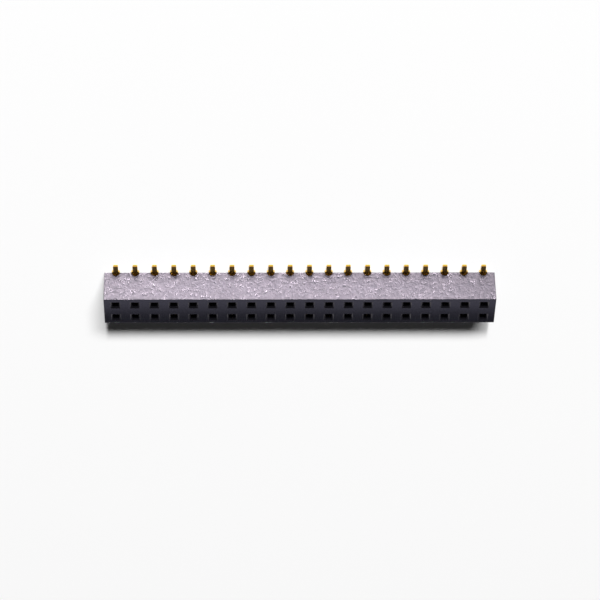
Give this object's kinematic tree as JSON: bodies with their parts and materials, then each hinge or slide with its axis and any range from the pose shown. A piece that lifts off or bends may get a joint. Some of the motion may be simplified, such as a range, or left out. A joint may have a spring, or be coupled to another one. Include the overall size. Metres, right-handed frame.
{
  "type": "female pin header strip",
  "caption": "Low two-row female header for surface mounting: black moulded housing with square funnelled sockets, gold-plated fork contacts and outward solder feet.",
  "frame": {"origin": "centre of the strip in the board plane, on the undersides of the solder feet", "axes": "+X along the rows, +Y across the rows, +Z out of the mating face, away from the board"},
  "size_m": [0.0514, 0.008, 0.0046],
  "materials": {
    "housing_plastic": "black glass-filled moulding, fine matt grain",
    "contact_gold": "thin gold plating over stamped copper alloy strip"
  },
  "bodies": {
    "root": {"housing": "housing_plastic", "contact_a01": "contact_gold", "contact_a02": "contact_gold", "contact_a03": "contact_gold", "contact_a04": "contact_gold", "contact_a05": "contact_gold", "contact_a06": "contact_gold", "contact_a07": "contact_gold", "contact_a08": "contact_gold", "contact_a09": "contact_gold", "contact_a10": "contact_gold", "contact_a11": "contact_gold", "contact_a12": "contact_gold", "contact_a13": "contact_gold", "contact_a14": "contact_gold", "contact_a15": "contact_gold", "contact_a16": "contact_gold", "contact_a17": "contact_gold", "contact_a18": "contact_gold", "contact_a19": "contact_gold", "contact_a20": "contact_gold", "contact_b01": "contact_gold", "contact_b02": "contact_gold", "contact_b03": "contact_gold", "contact_b04": "contact_gold", "contact_b05": "contact_gold", "contact_b06": "contact_gold", "contact_b07": "contact_gold", "contact_b08": "contact_gold", "contact_b09": "contact_gold", "contact_b10": "contact_gold", "contact_b11": "contact_gold", "contact_b12": "contact_gold", "contact_b13": "contact_gold", "contact_b14": "contact_gold", "contact_b15": "contact_gold", "contact_b16": "contact_gold", "contact_b17": "contact_gold", "contact_b18": "contact_gold", "contact_b19": "contact_gold", "contact_b20": "contact_gold"}
  },
  "joints": []
}
